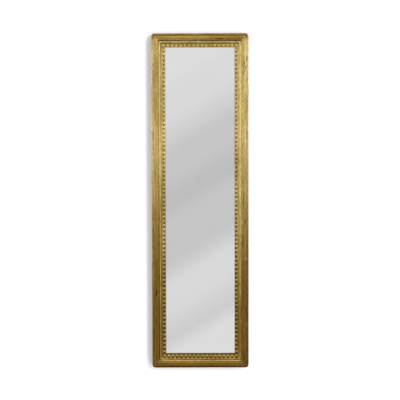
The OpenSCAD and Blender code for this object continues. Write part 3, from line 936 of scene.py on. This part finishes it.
def ochre_wash(tree):
    """Yellow ochre distemper brushed thinly over gesso on the frame's outer sides.

    To the eye it is a matt dull yellow, uneven with brush marks, darker with handling.
    """
    c = bpy.context.scene.mirror_finishes
    brush, handling = drawn_out(tree, 0.0, (60, 3, 0), (110, 33, 5))
    strokes = put(tree, "MapRange", {0: brush, 1: 0.35, 2: 0.7, 4: 0.5}, **EASED)
    base = put(tree, "Mix", {0: strokes, 6: rgba(c.ochre), 7: rgba(c.handled)}, **MIX)
    handled = put(tree, "MapRange", {0: handling, 1: 0.5, 2: 0.75, 4: 0.7}, **EASED)
    base = put(tree, "Mix", {0: handled, 6: base, 7: rgba(c.handled)}, **MIX)
    bump = put(tree, "Bump", {"Strength": 0.3, "Distance": 0.3 * MM, "Height": brush})
    return put(tree, "BsdfPrincipled", {"Base Color": base, "Roughness": 0.78, "Normal": bump})


def grain(tree, place, line_mm, patch_mm, tones, dusty, turn=0.0, start=(0, 0, 0)):
    """Grain whose lines have a real length, width and depth, with smoke in patches and dust."""
    stretched = put(tree, "Mapping", {
        "Vector": place, "Location": start, "Rotation": (0, turn, 0),
        "Scale": [1 / (mm * MM) for mm in line_mm]})
    lines = put(tree, "TexNoise", {
        "Vector": stretched, "Scale": 1.0, "Detail": 2.0, "Roughness": 0.55, "Distortion": 0.25})
    fibre = put(tree, "TexNoise", {
        "Vector": stretched, "Scale": 3.3, "Detail": 2.0, "Roughness": 0.7})
    broad = put(tree, "TexNoise", {
        "Vector": place, "Scale": 1 / (patch_mm * MM), "Detail": 3.0, "Roughness": 0.6})
    base, late, smoke, dust = tones
    for noise, low, high, most, tone in ((lines, 0.46, 0.66, 0.9, late),
                                         (broad, 0.35, 0.7, 0.55, smoke),
                                         (fibre, 0.4, 0.8, dusty, dust)):
        share = put(tree, "MapRange", {0: noise, 1: low, 2: high, 4: most}, **EASED)
        base = put(tree, "Mix", {0: share, 6: base, 7: tone}, **MIX)
    height = put(tree, "Math", {0: lines, 1: 1.2, 2: fibre}, operation="MULTIPLY_ADD")
    bump = put(tree, "Bump", {"Strength": 0.35, "Distance": 0.2 * MM, "Height": height})
    return put(tree, "BsdfPrincipled", {"Base Color": base, "Roughness": 0.8, "Normal": bump})


def pine_tones(shade=1.0):
    """Early wood, late wood, the brown of air and smoke, and dust."""
    c = bpy.context.scene.mirror_finishes
    tones = rgba(c.pine), rgba(c.pine_dark), linear("#6B4826"), linear("#A38C6E")
    return [(r * shade, g * shade, b * shade, 1.0) for r, g, b, _ in tones]


def member_pine(tree):
    """Bare planed pine at the back of the frame, gone brown.

    To the eye it is a dry mid brown with straight grain along each member.
    """
    return grain(tree, along_member(tree), (140, 2.8, 100), 80, pine_tones(), 0.25)


def board_pine(tree, i):
    """Planed pine boards laid across the back, brown and dusty.

    To the eye each is a brown board of its own shade, with late-wood lines from side to side.
    """
    place = put(tree, "TexCoord", out="Object")
    tones = pine_tones((1.0, 0.84, 1.1, 0.9, 1.04)[i - 1])
    start = (3.1 * i, 0.7 * i, 1.7 * i)
    return grain(tree, place, (290, 20, 4.2), 160, tones, 0.35, start=start)


def block_pine(tree):
    """Sawn pine of the glued blocks: pale, rough and plain."""
    place = put(tree, "TexCoord", out="Object")
    return grain(tree, place, (6, 6, 80), 40, pine_tones(), 0.4)


def beech_keys(tree):
    """Planed beech keys let in across the mitres: close, reddish brown wood with flecks."""
    c = bpy.context.scene.mirror_finishes
    place = put(tree, "TexCoord", out="Object")
    tones = rgba(c.key_wood), linear("#5B3A20"), linear("#6A4526"), linear("#9A7C58")
    return grain(tree, place, (17, 3.3, 2.4), 30, tones, 0.3, turn=math.radians(45))


def plate_glass(tree):
    """Polished plate glass: clear and almost without colour."""
    return put(tree, "BsdfPrincipled", {
        "Base Color": linear("#FCFDFC"), "Roughness": 0.0, "IOR": GLASS_IOR,
        "Transmission Weight": 1.0})


def ground_glass(tree):
    """The arrises and edges of the plate, ground to a fine matt."""
    place = put(tree, "TexCoord", out="Object")
    grit = put(tree, "TexNoise", {"Vector": place, "Scale": 1 / (1.1 * MM)})
    rough = put(tree, "MapRange", {0: grit, 1: 0.3, 2: 0.7, 3: 0.35, 4: 0.6}, **EASED)
    return put(tree, "BsdfPrincipled", {
        "Base Color": linear("#CFE0D6"), "Roughness": rough, "IOR": GLASS_IOR,
        "Transmission Weight": 0.9})


def silvering(tree):
    """Chemically deposited silver seen through the plate: a clean, neutral mirror."""
    return put(tree, "BsdfPrincipled", {
        "Base Color": linear("#F5F5F5"), "Metallic": 1.0, "Roughness": 0.0})


def backing_paint(tree):
    """Red lead paint brushed over the silver: matt, dull red brown."""
    place = put(tree, "TexCoord", out="Object")
    brush = put(tree, "TexNoise", {"Vector": place, "Scale": 1 / (17 * MM), "Detail": 3.0})
    strokes = put(tree, "MapRange", {0: brush, 1: 0.35, 2: 0.7}, **EASED)
    tone = put(tree, "Mix", {0: strokes, 6: linear("#7B3B2A"), 7: linear("#5E2C20")}, **MIX)
    return put(tree, "BsdfPrincipled", {"Base Color": tone, "Roughness": 0.7})


def old_iron(tree):
    """Cut iron nails: matt brown black with rust in patches."""
    c = bpy.context.scene.mirror_finishes
    place = put(tree, "TexCoord", out="Object")
    rust = put(tree, "TexNoise", {
        "Vector": place, "Scale": 1 / (2 * MM), "Detail": 3.0, "Roughness": 0.7})
    rusty = put(tree, "MapRange", {0: rust, 1: 0.4, 2: 0.65}, **EASED)
    tone = put(tree, "Mix", {0: rusty, 6: rgba(c.iron), 7: linear("#6E452B")}, **MIX)
    metal = put(tree, "MapRange", {0: rusty, 3: 0.8, 4: 0.1})
    return put(tree, "BsdfPrincipled", {"Base Color": tone, "Metallic": metal, "Roughness": 0.62})


def tarnished_brass(tree, clean):
    """Rolled, drawn or turned brass gone brown with handling: satin, mottled, bright if clean."""
    place = put(tree, "TexCoord", out="Object")
    mottle = put(tree, "TexNoise", {
        "Vector": place, "Scale": 1 / (6 * MM), "Detail": 4.0, "Roughness": 0.65})
    pits = put(tree, "TexNoise", {"Vector": place, "Scale": 1 / (0.8 * MM), "Detail": 2.0})
    brown = put(tree, "MapRange", {0: mottle, 1: 0.35, 2: 0.7}, **EASED)
    rough = put(tree, "MapRange", {0: mottle, 1: 0.3, 2: 0.7, 3: 0.3, 4: 0.5}, **EASED)
    tone = put(tree, "Mix", {0: brown, 6: rgba(clean), 7: linear("#6E5630")}, **MIX)
    bump = put(tree, "Bump", {"Strength": 0.15, "Distance": 0.1 * MM, "Height": pits})
    return put(tree, "BsdfPrincipled", {
        "Base Color": tone, "Metallic": 1.0, "Roughness": rough, "Normal": bump})


# ---- Stage ----


def plane_object(name, corners, material):
    """A flat stage sheet through its corners."""
    mesh = bpy.data.meshes.new(name)
    mesh.from_pydata(corners, [], [tuple(range(len(corners)))])
    mesh.materials.append(material)
    sheet = bpy.data.objects.new(name, mesh)
    bpy.context.scene.collection.objects.link(sheet)
    return sheet


def stage_paint(tree, tone, lift, only_seen):
    """Matt white paint, lifted for the camera to plain white and see-through from behind.

    The plate's reflections pass through it, so that they show the room alone. With
    only_seen every ray but the camera's does, so that the wall behind the mirror shows its
    shadow and yet leaves the light on the mirror's back alone.
    """
    rays = put(tree, "LightPath").node.outputs
    back = put(tree, "NewGeometry", out="Backfacing")
    met = put(tree, "Math", {0: 1.0, 1: rays["Is Transmission Ray"]}, operation="SUBTRACT")
    front = put(tree, "Math", {0: 1.0, 1: back}, operation="SUBTRACT")
    seen = put(tree, "Math", {0: front, 1: rays["Is Camera Ray"] if only_seen else met},
               operation="MULTIPLY")
    glow = put(tree, "Math", {0: rays["Is Camera Ray"], 1: lift}, operation="MULTIPLY")
    lifted = put(tree, "Emission", {0: grey(1.0), 1: glow})
    paint = put(tree, "BsdfDiffuse", {0: linear(tone)})
    both = put(tree, "AddShader", {0: paint, 1: lifted})
    clear = put(tree, "BsdfTransparent")
    return put(tree, "MixShader", {0: seen, 1: clear, 2: both})


def sun(name, comes_from, strength, angle):
    """A soft sun lamp shining from a direction."""
    data = bpy.data.lights.new(name, "SUN")
    data.energy, data.angle = strength, math.radians(angle)
    lamp = bpy.data.objects.new(name, data)
    lamp.rotation_euler = (-Vector(comes_from)).to_track_quat("-Z", "Y").to_euler()
    lamp.visible_transmission = False
    bpy.context.scene.collection.objects.link(lamp)
    return lamp


def only_on(lamp, sheet):
    """Keeps a lamp's light on one stage sheet, which still shows the shadow of the rest."""
    lit = bpy.data.collections.new("lit_by_" + lamp.name)
    lit.objects.link(sheet)
    lamp.light_linking.receiver_collection = lit


# The soft bands of the room that the plate shows, from its lightest wall to its deepest
# shade: where each stands, as the slope of the line of sight in thousandths, and its tone.
ROOM_TONES = {"wall": "#DDDDDD", "pale": "#D9D9D9", "soft": "#CDCDCD", "dim": "#C5C5C5",
              "deep": "#BDBDBD"}
ROOM_BANDS = ((-215, "wall"), (-174, "wall"), (-160, "soft"), (-137, "pale"),
              (-117, "pale"), (-107, "soft"), (-98, "dim"), (-69, "dim"), (-56, "deep"),
              (-48, "deep"), (-32, "dim"), (-14, "dim"), (-5, "soft"), (14, "pale"),
              (34, "pale"), (45, "wall"), (85, "wall"))
ROOM_SLANT = 0.6        # how steeply the bands run across
PLATE_LOSS = 1.11       # makes up for what the plate takes on the way in and out
LEAST_AHEAD = 0.2       # keeps the bands broad for a line of sight along the wall


def room_bands(tree, direction):
    """The room seen in the plate: soft slanting bands of pale grey, repeated all round."""
    x, y, z = put(tree, "SeparateXYZ", {0: direction}).node.outputs
    ahead = put(tree, "Math", {0: y}, operation="ABSOLUTE")
    ahead = put(tree, "Math", {0: ahead, 1: LEAST_AHEAD}, operation="MAXIMUM")
    slope = put(tree, "Math", {0: x, 1: -ROOM_SLANT, 2: z}, operation="MULTIPLY_ADD")
    slope = put(tree, "Math", {0: slope, 1: ahead}, operation="DIVIDE")
    low, high = ROOM_BANDS[0][0] / 1000, ROOM_BANDS[-1][0] / 1000
    share = put(tree, "MapRange", {0: slope, 1: low, 2: high}, clamp=False)
    share = put(tree, "Math", {0: share, 1: 1.0}, operation="PINGPONG")
    tones = [((at / 1000 - low) / (high - low), linear(ROOM_TONES[tone]))
             for at, tone in ROOM_BANDS]
    return put(tree, "ValToRGB", {0: share}, stops=tones)


def build_world():
    """White to the camera, banded grey in the plate, and soft light from above for the rest."""
    world = bpy.data.worlds.new("studio")
    bpy.context.scene.world = world
    world.use_nodes = True
    tree = world.node_tree
    tree.nodes.clear()
    direction = put(tree, "TexCoord", out="Generated")
    up = put(tree, "SeparateXYZ", {0: direction}, "Z")
    sky_foot, sky_head = grey(0.30), grey(1.50)
    height = put(tree, "MapRange", {0: up, 1: -0.75, 2: 0.85}, **EASED)
    sky = put(tree, "Mix", {0: height, 6: sky_foot, 7: sky_head}, **MIX)
    rays = put(tree, "LightPath").node.outputs
    bands = room_bands(tree, direction)
    room = put(tree, "Mix", {0: 1.0, 6: bands, 7: grey(PLATE_LOSS)}, **TIMES)
    room = put(tree, "Mix", {0: rays["Is Transmission Ray"], 6: sky, 7: room}, **MIX)
    shown = put(tree, "Mix", {0: rays["Is Camera Ray"], 6: room, 7: grey(1.0)}, **MIX)
    put(tree, "OutputWorld", {"Surface": put(tree, "Background", {0: shown, 1: 1.0})})


def build_camera():
    """The camera that the photograph was taken from."""
    s = bpy.context.scene.mirror_stage
    data = bpy.data.cameras.new("camera")
    data.sensor_width, data.lens = 36.0, s.lens
    data.clip_start, data.clip_end = 0.05, 50.0
    camera = bpy.data.objects.new("camera", data)
    camera.location = (0.0, -s.distance, s.camera_height)
    camera.rotation_euler = (math.radians(90) - s.pitch, s.roll, 0.0)
    bpy.context.scene.collection.objects.link(camera)
    bpy.context.scene.camera = camera


def build_stage():
    """Wall, floor, lamps, world and camera.

    The wall's paint is a little cool, against the warm light that the gilding throws on it.
    """
    wall_y, floor_z, far = 7.5 * MM, -0.8, 5.0
    wall = new_material("white_wall", stage_paint, "#C8CBD0", 0.10, True)
    sheet = plane_object("wall", [(-far, wall_y, floor_z), (far, wall_y, floor_z),
                                  (far, wall_y, far), (-far, wall_y, far)], wall)
    floor = new_material("pale_floor", stage_paint, "#BCBCBC", 0.35, False)
    ground = plane_object("floor", [(-far, -far, floor_z), (far, -far, floor_z),
                                    (far, far, floor_z), (-far, far, floor_z)], floor)
    ground.visible_shadow = False  # or it would keep the lower lamp's light off the wall
    for height, tilt in (("high", 0.28), ("low", -0.32)):
        only_on(sun(height + "_shadow_light", (0.53, -0.84, tilt), 1.38, 23), sheet)
    sun("side_light", (0.6, -0.75, 0.35), 0.5, 30)
    sun("back_light", (-0.45, 0.8, 0.55), 1.6, 30)
    build_world()
    build_camera()
    bpy.context.scene.view_settings.view_transform = "Standard"


# ---- Operators ----


class MIRROR_OT_moulding(bpy.types.Operator):
    """Build the four mitred members of the gilded frame"""

    bl_idname = "mirror.moulding"
    bl_label = "Moulding"

    def execute(self, context):
        build_moulding()
        return {"FINISHED"}


class MIRROR_OT_pearls(bpy.types.Operator):
    """Build the strips of pearls and the corner pearls"""

    bl_idname = "mirror.pearls"
    bl_label = "Pearls"

    def execute(self, context):
        build_pearls()
        return {"FINISHED"}


class MIRROR_OT_plate(bpy.types.Operator):
    """Build the silvered plate"""

    bl_idname = "mirror.plate"
    bl_label = "Plate"

    def execute(self, context):
        build_plate()
        return {"FINISHED"}


class MIRROR_OT_back(bpy.types.Operator):
    """Build the boards, nails, blocks and keys of the back"""

    bl_idname = "mirror.back"
    bl_label = "Back"

    def execute(self, context):
        build_back()
        return {"FINISHED"}


class MIRROR_OT_hangers(bpy.types.Operator):
    """Build the straps, screws and rings"""

    bl_idname = "mirror.hangers"
    bl_label = "Hangers"

    def execute(self, context):
        build_hangers()
        return {"FINISHED"}


class MIRROR_OT_stage(bpy.types.Operator):
    """Build the wall, floor, lamps and camera"""

    bl_idname = "mirror.stage"
    bl_label = "Stage"

    def execute(self, context):
        build_stage()
        return {"FINISHED"}


OPERATORS = (MIRROR_OT_moulding, MIRROR_OT_pearls, MIRROR_OT_plate, MIRROR_OT_back,
             MIRROR_OT_hangers, MIRROR_OT_stage)


class MIRROR_PT_panel(bpy.types.Panel):
    """The steps that build the mirror"""

    bl_idname = "MIRROR_PT_panel"
    bl_label = "Pier Mirror"
    bl_space_type = "VIEW_3D"
    bl_region_type = "UI"
    bl_category = "Pier Mirror"

    def draw(self, context):
        for operator in OPERATORS:
            self.layout.operator(operator.bl_idname)


CLASSES = (MouldingSizes, FinishColours, StageSettings, *OPERATORS, MIRROR_PT_panel)


def register():
    """Registers the properties, operators and panel."""
    for c in CLASSES:
        bpy.utils.register_class(c)
    bpy.types.Scene.mirror_sizes = PointerProperty(type=MouldingSizes)
    bpy.types.Scene.mirror_finishes = PointerProperty(type=FinishColours)
    bpy.types.Scene.mirror_stage = PointerProperty(type=StageSettings)


def unregister():
    """Takes them out again."""
    for name in ("mirror_sizes", "mirror_finishes", "mirror_stage"):
        delattr(bpy.types.Scene, name)
    for c in reversed(CLASSES):
        bpy.utils.unregister_class(c)


def main():
    """Builds everything."""
    register()
    for operator in (bpy.ops.mirror.moulding, bpy.ops.mirror.pearls, bpy.ops.mirror.plate,
                     bpy.ops.mirror.back, bpy.ops.mirror.hangers, bpy.ops.mirror.stage):
        operator()


if __name__ == "__main__":
    main()
